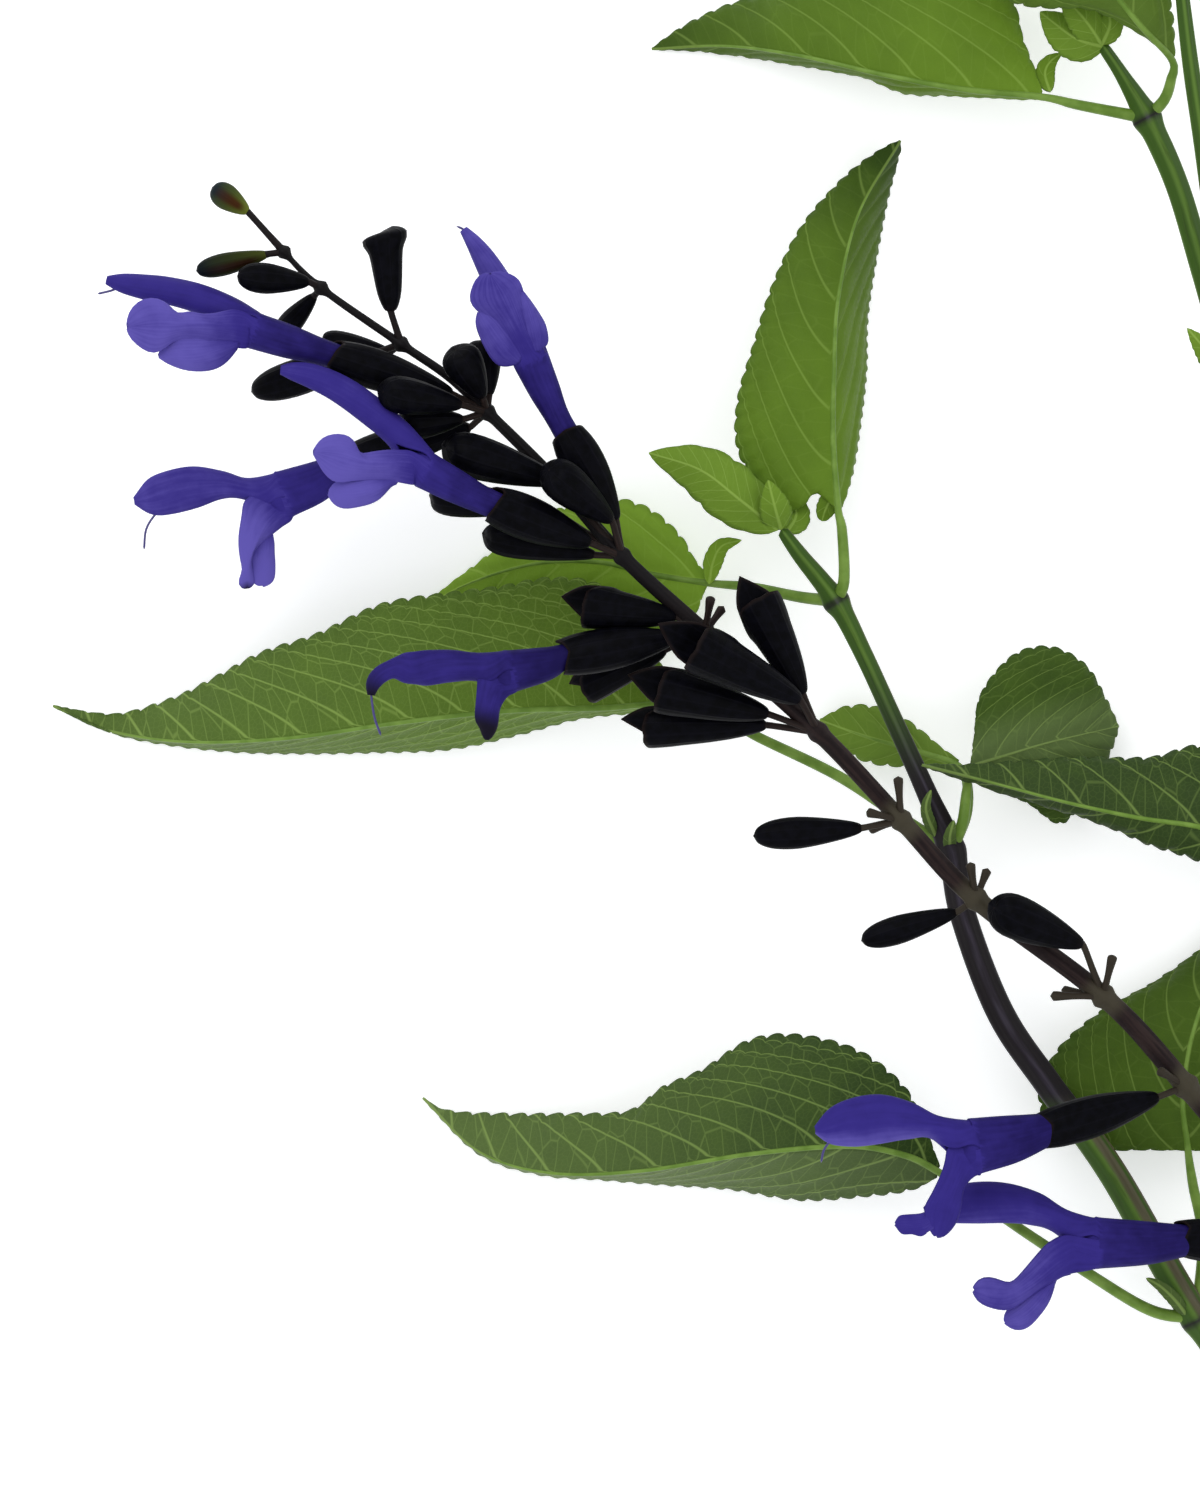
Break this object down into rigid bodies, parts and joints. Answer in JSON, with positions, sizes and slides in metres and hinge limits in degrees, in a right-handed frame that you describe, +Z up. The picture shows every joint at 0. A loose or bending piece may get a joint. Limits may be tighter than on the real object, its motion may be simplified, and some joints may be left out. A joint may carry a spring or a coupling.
{
  "type": "perennial salvia branch",
  "caption": "Cut flowering branch of a perennial salvia lying on a surface: leafy shoots with crenate leaves and a black raceme of two-lipped blue flowers in dark calyces.",
  "frame": {"origin": "centre of the bounding box, on the surface that the branch lies on", "axes": "+Z up, square to the surface it lies on and along the shortest extent; +Y along the longest extent, from the cut end towards the shoot tips; +X away from the raceme's tip"},
  "size_m": [0.238, 0.2792, 0.0501],
  "materials": {
    "stem": "satin green, near-black where the sun has stained it",
    "raceme": "near-black with a faint blue sheen, finely hairy",
    "leaf": "matt green with a net of paler veins",
    "corolla": "soft violet-blue petal, finely hairy"
  },
  "bodies": {
    "root": {"stem": "stem", "raceme": "raceme", "leaf_upright": "leaf", "leaf_left_back": "leaf", "leaf_left_front": "leaf", "leaf_right_round": "leaf", "leaf_right_small": "leaf", "leaf_low_left": "leaf", "leaf_low_right": "leaf", "leaf_top_left": "leaf", "leaf_top_right": "leaf", "leaf_right_front": "leaf", "leaf_right_back": "leaf", "leaf_side_right": "leaf", "leaf_base": "leaf", "corolla_1": "corolla", "corolla_2": "corolla", "corolla_3": "corolla", "corolla_4": "corolla", "corolla_5": "corolla", "corolla_6": "corolla", "corolla_7": "corolla"}
  },
  "joints": []
}
